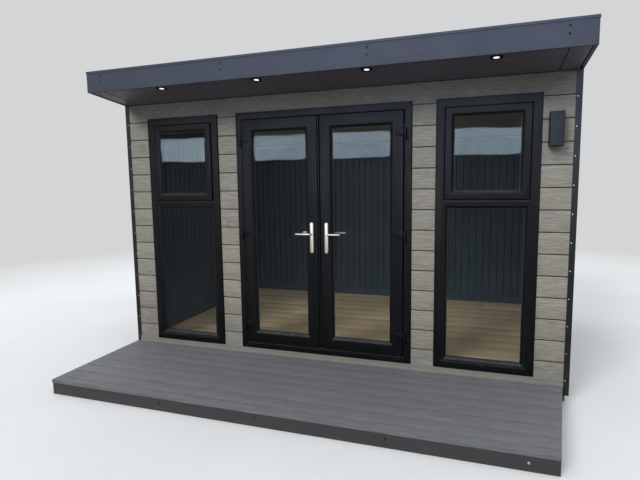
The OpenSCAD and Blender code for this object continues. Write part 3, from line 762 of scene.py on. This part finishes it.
def window(side, name):
    piece = Piece(name + "_window_profile")
    x = side * WINDOW_X
    piece.ring(x, FLOOR, WINDOW_W, FRAME_H, rounded([(0, FRAME_FACE, 3)] + lip(50, FRAME_FACE) + [
        (WINDOW_FACE, FRAME_FACE, 3), (WINDOW_FACE, FRAME_BACK, 1), (0, FRAME_BACK, 1)]))
    piece.ring(x, TRANSOM_TOP, CLEAR_W, VENT_H, rounded([
        (0, STOP_FACE, 0), (22, STOP_FACE, 2), (22, FRAME_BACK, 2), (0, FRAME_BACK, 0)]))
    piece.block((x - CLEAR_W / 2 - 1, FRAME_FACE, TRANSOM_FOOT),
                (x + CLEAR_W / 2 + 1, FRAME_BACK, TRANSOM_TOP), 3)
    piece.ring(x, FIXED_FOOT, CLEAR_W, FIXED_H, rounded([
        (-1, -8, 0), (8, -8, 1.5), (10, -7.2, 1), (20, -1, 3), (26.5, 3.4, 1), (28, 6, 0),
        (20, 6.2, 0), (20, 30, 0), (28, 30, 0), (25, 37, 2), (14, FRAME_BACK, 2),
        (-1, FRAME_BACK, 0)]))
    gasket(piece, x, TRANSOM_TOP, CLEAR_W, VENT_H, 12, 36, STOP_FACE)
    gasket(piece, x, FIXED_FOOT, CLEAR_W, FIXED_H, 26, 3.6, 6, 4.0)
    drain_cap(piece, x, FLOOR + 39)
    piece.make([FRAME, RUBBER], "frame", [name + "_window_frame"])

    piece = Piece(name + "_sash_profile")
    outline = rounded([(0, LEAF_FACE, 3.5)] + lip(42, LEAF_FACE, 1.4) + [
        (45, -21.6, 1.2), (55, -15.5, 3), (60.5, -11, 1), (62, -8.2, 0), (54, -8, 0), (54, 16, 0),
        (62, 16, 0), (59, 24, 2), (48, 35, 2), (0, 35, 2)])
    piece.ring(x, SASH_FOOT, SASH_W, SASH_H, outline)
    gasket(piece, x, SASH_FOOT, SASH_W, SASH_H, 60, -10.6, -8, 4.0)
    piece.make([FRAME, RUBBER], "frame", [name + "_window_sash"])


def pane_unit(panes, spacers, x, foot, width, height, inset, front):
    """A sealed unit inset from what holds it: two panes with bevelled edges on a spacer bar."""
    z, w, h = foot + inset, width - 2 * inset, height - 2 * inset
    for y in (front, front + PANE_STEP):
        panes.plate(x, z + h / 2, w, h, y + PANE_T, y + 0.01, 1.5, 0.6)
    spacers.ring(x, z, w, h, rounded([(3, front + 4.2, 0), (12, front + 4.2, 1),
                                      (12, front + 19.8, 1), (3, front + 19.8, 0)]))


def glazing():
    for side, name in ((-1, "left"), (1, "right")):
        x = side * WINDOW_X
        panes, spacers = Piece(name + "_window_panes"), Piece(name + "_window_spacers")
        pane_unit(panes, spacers, x, SASH_FOOT, SASH_W, SASH_H, SASH_GLASS, -8)
        pane_unit(panes, spacers, x, FIXED_FOOT, CLEAR_W, FIXED_H, FIXED_GLASS, 6)
        panes.make([GLASS], "glass", [name + "_window_glass"], sharp=20)
        spacers.make([SPACER], "frame")
        body = name + "_door"
        panes, spacers = Piece(name + "_leaf_panes", body), Piece(name + "_leaf_spacers", body)
        pane_unit(panes, spacers, side * LEAF_X, LEAF_FOOT, LEAF_W, LEAF_H, LEAF_GLASS, -6)
        panes.make([GLASS], "glass", [name + "_leaf_glass"], sharp=20)
        spacers.make([SPACER], "frame")


# Hinges and handles


def hinges(side, name):
    fixed, moving = Piece(name + "_hinge_bases"), Piece(name + "_hinge_leaves", name + "_door")
    x = side * PIN_X
    for z in HINGE_HEIGHTS:
        fixed.turned((x, PIN_Y, z), "z", [
            (6.5, -46, 0.4), (9.2, -45.2, 1), (10.5, -43, 0.5), (10.5, -39, 0), (9.9, -38.4, 0.8),
            (10.5, -37.8, 0), (10.5, -1, 0.4), (9.8, -0.2, 1)])
        fixed.turned((x, PIN_Y, z), "z", [(5, -1, 0), (5, 36, 0), (4, 38, 0)])
        fixed.plate(x + side * 1.5, z - 23, 13, 45, FRAME_FACE, -23, 2, 1)
        fixed.plate(x + side * 20, z - 23, 26, 45, FRAME_FACE, -14.4, 3, 1)
        moving.turned((x, PIN_Y, z), "z", [
            (9.8, 0.5, 1), (10.5, 1.3, 0.4), (10.5, 37.8, 0), (9.9, 38.4, 0.8), (10.5, 39, 0),
            (10.5, 43, 0.5), (9.2, 45.2, 1), (6.5, 46, 0.4)])
        moving.plate(x - side * 8, z + 23, 15, 45, LEAF_FACE, -27, 1, 1)
        middle = (x - side * 45, z + 14)
        moving.plate(*middle, 60, 64, LEAF_FACE, -27, 6, 4)
        for dx, dz in ((-18, -18), (-18, 18), (18, 18), (18, -18)):
            moving.plate(middle[0] + dx, middle[1] + dz, 10, 10, -26.5, -28, 5, 0.6)
    fixed.make([HINGE], "hinge", [name + "_hinge_blocks"])
    moving.make([HINGE], "hinge", [name + "_hinge_flags"])


def crowned_plate(piece, x, z, back, front):
    """A long handle plate with round ends and a crowned front."""
    crown = ((0, 0, 0), (0.55, 0, 0.4), (0.8, 1.2, 1), (0.93, 3.2, 0.3), (1, 7, 0))
    rings = []
    for share, inset, wear in crown:
        a, b = PLATE_W / 2 - inset, PLATE_H / 2 - inset
        ring = []
        for i in range(40):
            angle = 2 * math.pi * (i + 0.5) / 40
            shift = (b - a) * (1 if math.sin(angle) > 0 else -1)
            ring.append((x + a * math.cos(angle), back + (front - back) * share,
                         z + shift + a * math.sin(angle), wear))
        rings.append(ring)
    piece.loft(rings)


def handles(side, name):
    x, z = side * SPINDLE_X, SPINDLE_Z
    faces = ((LEAF_FACE - PLATE_T, -1), (LEAF_BACK + PLATE_T, 1))
    plates = Piece(name + "_long_plates", name + "_door")
    crowned_plate(plates, x, z - PLATE_DROP, LEAF_FACE, LEAF_FACE - PLATE_T)
    crowned_plate(plates, x, z - PLATE_DROP, LEAF_BACK, LEAF_BACK + PLATE_T)
    for y, out in faces:
        plates.skin = 1
        for dz in (-145, 77):
            plates.turned((x, y, z + dz), "y",
                          [(3.4, 0, 0), (3.4, out * 0.6, 1), (2.6, out * 0.9, 0)])
        plates.turned((x, y, z - 92), "y", [(8.6, 0, 0), (8.6, out * 1.6, 1), (8.0, out * 2, 0)])
        plates.skin = 2
        plates.plate(x, z - 93, 1.8, 8, y + out * 1.9, y + out * 2.2, 0.8, 0.1)
        plates.skin = 0
    plates.make([STEEL, STEEL, SCREW], "handle", [name + "_handle_plates"])

    lever = Piece(name + "_levers", name + "_handle")
    taper = ((60, 7.0), (100, 6.8), (118, 6.7), (123, 5.9), (126, 4.2), (127, 2.2))
    for face, out in faces:
        lever.turned((x, face, z), "y", [(11.5, 0, 0), (11.5, out * 4, 0.4), (10.4, out * 6, 1),
                                         (9, out * 6.6, 0)])
        path = [(x, face, z), (x, face + out * (LEVER_REACH - LEVER_BEND), z)]
        radii = [8.0, 7.2]
        for i in range(1, 7):
            angle = math.pi / 2 * i / 6
            path.append((x + side * LEVER_BEND * (1 - math.cos(angle)),
                         face + out * (LEVER_REACH - LEVER_BEND + LEVER_BEND * math.sin(angle)), z))
            radii.append(7.1)
        for along, radius in taper:
            path.append((x + side * along, face + out * LEVER_REACH, z))
            radii.append(radius)
        lever.sweep(path, radii)
    lever.turned((x, 0, z), "y", [(5, -36, 0), (5, 50, 0)], 16)
    lever.make([LEVER], "handle", [name + "_lever"])


# Roof


def sloped(y0, y1, low, high, radius=2.0):
    """Outline (y, z, wear) of a slab that follows the roof."""
    return rounded([(y0, soffit(y0) + low, radius), (y1, soffit(y1) + low, radius),
                    (y1, soffit(y1) + high, radius), (y0, soffit(y0) + high, radius)])


def fascias():
    front = Piece("front_fascia_board")
    front.along_x(-FASCIA_OUT, FASCIA_OUT, sloped(CANOPY, FASCIA_BACK, FASCIA_FOOT, FASCIA_TOP))
    front.make([FASCIA], "fascia", ["front_fascia"])
    sides = Piece("side_fascia_boards")
    corners = rounded([(FASCIA_IN, FASCIA_FOOT, 0), (FASCIA_OUT, FASCIA_FOOT, 2),
                       (FASCIA_OUT, FASCIA_TOP, 2), (FASCIA_IN, FASCIA_TOP, 0)])
    # The side fascias' undersides get the mark -1, for painted shade
    corners = [(x, z, -1 if z == FASCIA_FOOT else w) for x, z, w in corners]
    for side in (-1, 1):
        sides.loft([[(side * x, y, soffit(y) + z, w) for x, z, w in corners]
                    for y in (FASCIA_BACK, REAR_IN)])
    sides.make([FASCIA], "fascia", ["side_fascias"])
    back = Piece("back_fascia_board")
    back.along_x(-FASCIA_OUT, FASCIA_OUT, sloped(REAR_IN, REAR_OUT, FASCIA_FOOT, FASCIA_TOP))
    back.make([FASCIA], "fascia", ["back_fascia"])


def soffit_boards():
    piece = Piece("soffit_boards")
    for x0, x1 in ((-1850, -1733), (-1725, 106), (110, 1725), (1733, 1850)):
        piece.tone = random.random()
        piece.along_x(x0, x1, sloped(FASCIA_BACK + 4, 0, 0, 12, 1.5))
    piece.make([SOFFIT], "soffit", ["canopy_soffit"])


def screws():
    """Screws: dark in the fascias, soffit and deck, bright in the angles and once in the deck."""
    head = [(4.2, 0, 0), (4.2, -0.8, 1), (3.0, -1.4, 0.4)]
    large = [(7.5, 0, 0), (7.5, -1, 1), (6, -1.9, 0.4)]
    dark, bright = Piece("dark_screws"), Piece("bright_screws")
    facing = FACING_FACE + SCREW_SINK

    def put(piece, centre, axis, profile, sign=1):
        piece.turned(centre, axis, [(r, sign * a, w) for r, a, w in profile], 12)

    for x in (-1736, -623, 497, 1723):
        for z in FASCIA_SCREWS:
            put(dark, (x, CANOPY + SCREW_SINK, soffit(CANOPY) + FASCIA_FOOT + z), "y", large)
    for side in (-1, 1):
        x = side * (FASCIA_OUT - SCREW_SINK)
        for y in (-330, 500, 1400, 2250):
            for z in FASCIA_SCREWS:
                put(dark, (x, y, soffit(y) + FASCIA_FOOT + z), "x", large, -side)
    y = REAR_OUT - SCREW_SINK
    for x in (-1120, 0, 1120):
        for z in FASCIA_SCREWS:
            put(dark, (x, y, soffit(REAR_OUT) + FASCIA_FOOT + z), "y", large, -1)
    for x in (-1221, -621, -22, 201, 801, 1401):
        put(dark, (x, -230, soffit(-230) + SCREW_SINK), "z", large)
    for x in (-1640, -890, -138, 735):
        put(dark, (x, facing, 58), "y", large)
    put(bright, (1533, facing, 48), "y", large)
    front, back = -CORNER_PROUD + SCREW_SINK, DEPTH + CORNER_PROUD - SCREW_SINK
    for side in (-1, 1):
        x = side * (HALF + CORNER_PROUD - SCREW_SINK)
        for z in ANGLE_SCREWS:
            rear = min(z, REAR_ANGLE_TOP)
            put(bright, (side * ANGLE_SCREW_X, front, z), "y", head)
            put(bright, (side * ANGLE_SCREW_X, back, rear), "y", head, -1)
            put(bright, (x, ANGLE_SCREW_Y, z), "x", head, -side)
            put(bright, (x, DEPTH - ANGLE_SCREW_Y, rear), "x", head, -side)
    dark.make([SCREW], "fascia")
    bright.make([BRIGHT], "handle")


def downlights():
    """The downlights. Their covers are returned, because the wall light's join them."""
    rings, lenses = Piece("downlight_bezels"), Piece("downlight_covers")
    bezel = [(25.2, 3, 0), (25.2, -1.6, 0), (19.5, -1.8, 0), (20, -2.6, 0.5), (26.2, -3.8, 1),
             (34, -4, 0.4), (41.5, -3, 1), (43, 0, 0)]
    cover = [(24.9, 1, 0), (24.9, -0.8, 0), (15, -1.1, 0), (6, -1.3, 0)]
    tilt = Matrix.Rotation(-math.atan(SLOPE), 3, "X")
    for i in range(DOWNLIGHTS):
        centre = Vector((DOWNLIGHT_X + DOWNLIGHT_PITCH * i, DOWNLIGHT_Y, soffit(DOWNLIGHT_Y)))
        for piece, profile in ((rings, bezel), (lenses, cover)):
            start = len(piece.points)
            piece.turned((0, 0, 0), "z", profile, 40)
            moved = [centre + tilt @ Vector(p) for p in piece.points[start:]]
            piece.points[start:] = [tuple(p) for p in moved]
    rings.make([BEZEL], "lamp", ["downlight_rings"])
    return lenses


def wall_lamp(lenses):
    """A box on a plate, open at both ends over a cover."""
    def outline(a, b, radius, z, wear):
        corners = [(-a, -b, radius), (a, -b, radius), (a, b, radius), (-a, b, radius)]
        return [(LAMP_X + p, LAMP_Y + q, LAMP_Z + z, wear) for p, q, _ in rounded(corners, 4)]

    def mouth(z):
        return outline(40, 37.5, 2, z, 0)

    piece = Piece("wall_lamp_body")
    piece.plate(LAMP_X, LAMP_Z, 74, 130, 0, -12, 4, 2)
    body = [outline(45 - inset, 42.5 - inset, 4, z, wear) for z, inset, wear in (
        (-115, 5, 0.5), (-115, 1.2, 1), (-113.8, 0, 0.6), (-8, 0, 0), (-7, 1, 0.8), (-4, 1, 0.8),
        (-3, 0, 0), (113.8, 0, 0.6), (115, 1.2, 1), (115, 5, 0.5))]
    piece.loft([mouth(-LAMP_MOUTH)] + body + [mouth(LAMP_MOUTH)])
    for side in (-1, 1):
        piece.turned((LAMP_X + side * 45, LAMP_Y, LAMP_Z - 60), "x",
                     [(4, 0, 0), (4, side * 1.2, 1), (3, side * 1.8, 0)], 14)
    piece.make([LAMP], "lamp", ["wall_light"])
    lenses.skin = 1
    for end in (-1, 1):
        lenses.loft([mouth(end * z) for z in (LAMP_MOUTH, LAMP_MOUTH + 4)])
    lenses.make([LENS, LAMP_LENS], "lens", ["light_lenses"])


# Deck


def deck_board(piece, outline):
    """A board along the front, cut at the deck's slanting end. The outline is (y, z, wear)."""
    piece.loft([[(DECK_LEFT, y, z, w) for y, z, w in outline],
                [(deck_right(y), y, z, w) for y, z, w in outline]])


def deck():
    boards = Piece("decking")
    boards.tone = 0.45
    y = DECK_FRONT
    nosing = [(y, DECK_UNDER, 1.5), (y, 101.5, 0), (y + 1.5, 103, 0), (y, 104.5, 0),
              (y, DECK_TOP, 4), (y + NOSING_W, DECK_TOP, 2), (y + NOSING_W, DECK_UNDER, 1)]
    deck_board(boards, rounded(nosing, 4))
    y += NOSING_W + DECK_GAP
    while y < DECK_BACK:
        end = min(y + DECK_BOARD_W, DECK_BACK)
        boards.tone = random.random()
        deck_board(boards, rounded([(y, DECK_UNDER, 1), (y, DECK_TOP, 2.5),
                                    (end, DECK_TOP, 2.5), (end, DECK_UNDER, 1)]))
        y += DECK_BOARD_W + DECK_GAP
    boards.make([DECK], "deck", ["deck_boards"])
    facing = Piece("deck_facing_boards")
    back = FACING_FACE + FACING_T
    deck_board(facing, rounded([(FACING_FACE, 0, 1), (FACING_FACE, DECK_UNDER, 1.5),
                                (back, DECK_UNDER, 0), (back, 0, 0)]))
    end_board = rounded([(0, 0, 1), (0, DECK_UNDER, 1),
                         (FACING_T, DECK_UNDER, 1), (FACING_T, 0, 1)])
    for edge, inward in ((lambda y: DECK_LEFT, 1), (deck_right, -1)):
        facing.tone = random.random()
        facing.loft([[(edge(y) + inward * d, y, z, w) for d, z, w in end_board]
                     for y in (back + 0.6, DECK_BACK)])
    facing.make([FACING], "deck", ["deck_front_facing", "deck_side_facings"])


# Inside


def ribs(start, end):
    """Slats as (along, depth, wear) points, their faces at depth 0 and grooves between them."""
    points = [(start, 0, 0)]
    count = round((end - start) / SLAT_PITCH)
    step = (end - start) / count
    half = SLAT_GROOVE / 2
    for i in range(1, count):
        a = start + i * step
        # Groove bottoms get the mark -1, for painted shade
        points += [(a - half - 1, 0, 0), (a - half, SLAT_DEPTH, -1),
                   (a + half, SLAT_DEPTH, -1), (a + half + 1, 0, 0)]
    return points + [(end, 0, 0)]


def lining_boards():
    """Slatted boards on the back and side walls, in front of the lining, and a skirting."""
    piece = Piece("lining_boards")
    side, back = ROOM_HALF - SLAT_T, ROOM_BACK - SLAT_T
    runs = [[(x, back + d, w) for x, d, w in ribs(-ROOM_HALF, ROOM_HALF)]
            + [(ROOM_HALF, ROOM_BACK, 0), (-ROOM_HALF, ROOM_BACK, 0)]]
    for sign in (-1, 1):
        runs.append([(sign * (side + d), y, w) for y, d, w in ribs(ROOM_FRONT, back)]
                    + [(sign * ROOM_HALF, back, 0), (sign * ROOM_HALF, ROOM_FRONT, 0)])
    for outline in runs:
        piece.along_z(FLOOR, EAVES, outline)
    piece.make([LINING], "lining", sharp=20, cut=((0, 0, soffit(0)), ROOF_NORMAL))

    def section(face, out):
        top = FLOOR + SKIRTING_H
        return rounded([(face, FLOOR, 0), (face, top, 0), (out, top, 4), (out, FLOOR, 0)])

    skirting = Piece("skirting")
    skirting.along_x(-side, side, section(back, back - SKIRTING_T))
    for sign in (-1, 1):
        skirting.along_y(ROOM_FRONT, back - SKIRTING_T,
                         section(sign * side, sign * (side - SKIRTING_T)))
    skirting.make([LINING], "lining")


def floor_planks():
    piece = Piece("floor_planks")
    piece.tone = 0.3
    piece.along_x(-FLOOR_HALF, FLOOR_HALF, rounded([
        (FLOOR_FRONT, FLOOR_UNDER, 0), (FLOOR_FRONT, PLANK_UNDER, 0),
        (FLOOR_BACK, PLANK_UNDER, 0), (FLOOR_BACK, FLOOR_UNDER, 0)]))
    y, row = FLOOR_FRONT, 0
    while y < FLOOR_BACK:
        end = min(y + PLANK_W, FLOOR_BACK)
        x = -FLOOR_HALF - (row * PLANK_STAGGER) % PLANK_L
        while x < FLOOR_HALF:
            x0, x1 = max(x, -FLOOR_HALF), min(x + PLANK_L, FLOOR_HALF)
            piece.tone = random.random()
            outline = rounded([(y, PLANK_UNDER, 0), (y, FLOOR, 1.2), (end, FLOOR, 1.2),
                               (end, PLANK_UNDER, 0)], 2)
            piece.along_x(x0 + 0.4, x1 - 0.4, outline)
            x += PLANK_L
        y += PLANK_W
        row += 1
    piece.make([OAK], "timber", ["floor_panel"])


def finish_frame_nodes():
    """Gives each node that stays its material."""
    kept = {
        TIMBER: ["base_frame", "left_wall", "right_wall", "back_wall", "roof_panel", "deck_frame"],
        LINING: ["left_outer_pier", "left_inner_pier", "right_inner_pier", "right_outer_pier",
                 "front_header", "wall_lining"],
        CEILING: ["ceiling_lining"],
        ANGLE: ["corner_trims"],
        ROOF: ["roof_membrane"],
        CAPPING: ["roof_capping"],
    }
    for material, names in kept.items():
        for name in names:
            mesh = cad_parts[name].data
            mesh.materials.clear()
            mesh.materials.append(material)


# Studio


def studio():
    scene = bpy.context.scene
    scene.view_settings.view_transform = "Standard"

    camera = bpy.data.objects.new("camera", bpy.data.cameras.new("camera"))
    camera.data.sensor_width = 36
    camera.data.lens = 26.890376
    camera.data.clip_end = 200
    # Fitted to the photograph
    camera.matrix_world = Matrix((
        (0.946767, -0.023407, 0.321068, 1.260641),
        (0.321623, 0.111608, -0.940267, -4.400536),
        (-0.013825, 0.993477, 0.113195, 1.583178),
        (0, 0, 0, 1),
    ))
    scene.collection.objects.link(camera)
    scene.camera = camera

    # The floor is a wide disc that fades into the background at its rim
    s = Shade("studio_floor")
    distance = s.node("ShaderNodeVectorMath", {0: s.where}, operation="LENGTH").outputs["Value"]
    cloud = s.span(s.noise((0.8, 0.8, 0.8), 3), 0.3, 0.7, 0.0, 1.0)
    grey = s.mix(cloud, (0.66, 0.66, 0.66, 1), (0.70, 0.70, 0.70, 1))
    seen = s.node("ShaderNodeLightPath").outputs
    shown = s.either(seen["Is Camera Ray"], seen["Is Glossy Ray"])
    shown = s.either(shown, seen["Is Transmission Ray"])
    pale = s.mix(shown, (0.30, 0.29, 0.28, 1), grey)
    ground = s.node("ShaderNodeBsdfDiffuse", {"Color": pale})
    gone = s.node("ShaderNodeBsdfTransparent")
    s.done(s.node("ShaderNodeMixShader", {0: s.span(distance, 5.0, 9.0, 0.0, 1.0),
                                          1: ground.outputs[0], 2: gone.outputs[0]}))
    mesh = bpy.data.meshes.new("studio_floor")
    turns = [2 * math.pi * i / 96 for i in range(96)]
    rim = [(14 * math.cos(t), 14 * math.sin(t), -0.001) for t in turns]
    mesh.from_pydata(rim, [], [tuple(range(len(rim)))])
    mesh.materials.append(s.material)
    floor = bpy.data.objects.new("studio_floor", mesh)
    scene.collection.objects.link(floor)

    # The world: brighter overhead for the object, and one pale tone to look at
    world = bpy.data.worlds.new("studio_world")
    world.use_nodes = True
    scene.world = world
    nodes, links = world.node_tree.nodes, world.node_tree.links
    nodes.clear()
    way = nodes.new("ShaderNodeTexCoord")
    split = nodes.new("ShaderNodeSeparateXYZ")
    rise = nodes.new("ShaderNodeMapRange")
    for key, value in (("From Min", 0.05), ("From Max", 0.90), ("To Min", 0.0), ("To Max", 1.55)):
        rise.inputs[key].default_value = value
    overhead = nodes.new("ShaderNodeBackground")
    overhead.inputs["Color"].default_value = (0.93, 0.97, 1.0, 1)
    back = nodes.new("ShaderNodeBackground")
    back.inputs["Color"].default_value = (0.66, 0.665, 0.67, 1)
    rays = nodes.new("ShaderNodeLightPath")
    either, both = nodes.new("ShaderNodeMath"), nodes.new("ShaderNodeMath")
    either.operation = both.operation = "MAXIMUM"
    mixed, output = nodes.new("ShaderNodeMixShader"), nodes.new("ShaderNodeOutputWorld")
    links.new(way.outputs["Generated"], split.inputs[0])
    links.new(split.outputs[2], rise.inputs["Value"])
    links.new(rise.outputs[0], overhead.inputs["Strength"])
    links.new(rays.outputs["Is Camera Ray"], either.inputs[0])
    links.new(rays.outputs["Is Glossy Ray"], either.inputs[1])
    links.new(either.outputs[0], both.inputs[0])
    links.new(rays.outputs["Is Transmission Ray"], both.inputs[1])
    links.new(both.outputs[0], mixed.inputs[0])
    links.new(overhead.outputs[0], mixed.inputs[1])
    links.new(back.outputs[0], mixed.inputs[2])
    links.new(mixed.outputs[0], output.inputs[0])

    def light(name, kind, power, centre, target, **settings):
        lamp = bpy.data.lights.new(name, kind)
        lamp.energy = power
        for key, value in settings.items():
            setattr(lamp, key, value)
        made = bpy.data.objects.new(name, lamp)
        made.location = centre
        aim = Vector(target) - Vector(centre)
        made.rotation_euler = aim.to_track_quat("-Z", "Y").to_euler()
        made.visible_camera = False
        scene.collection.objects.link(made)
        return made

    # A wide soft key, a long box and a sky that only glass and gloss mirror, and light in the room
    key = light("key", "SUN", 1.7, (-3.5, -8.2, 5.5), (0, -0.7, 0.6), angle=math.radians(22))
    key.visible_glossy = False
    box = light("long_softbox", "AREA", 640, (-1.5, -8.9, 2.58), (-0.4, -0.7, 1.6),
                shape="RECTANGLE", size=12.0, size_y=0.62, color=(0.80, 0.90, 1.0))
    box.visible_diffuse = False
    sky = light("sky_softbox", "AREA", 900, (2.0, -8.9, 5.4), (0.6, -0.7, 2.2),
                shape="RECTANGLE", size=12.0, size_y=3.0, color=(0.52, 0.64, 1.0))
    sky.visible_diffuse = sky.visible_transmission = False
    room = light("room_softbox", "AREA", 10, (0, 0.5, 2.0), (0, 0.5, 0),
                 shape="RECTANGLE", size=3.0, size_y=1.6)
    room.visible_glossy = room.visible_transmission = False


def main():
    front_boards()
    side_boards()
    back_boards()
    base_moulding()
    sealant()
    door_frame()
    for side, name in ((-1, "left"), (1, "right")):
        leaf(side, name)
        window(side, name)
        hinges(side, name)
        handles(side, name)
    glazing()
    fascias()
    soffit_boards()
    screws()
    wall_lamp(downlights())
    deck()
    lining_boards()
    floor_planks()
    finish_frame_nodes()
    studio()


main()
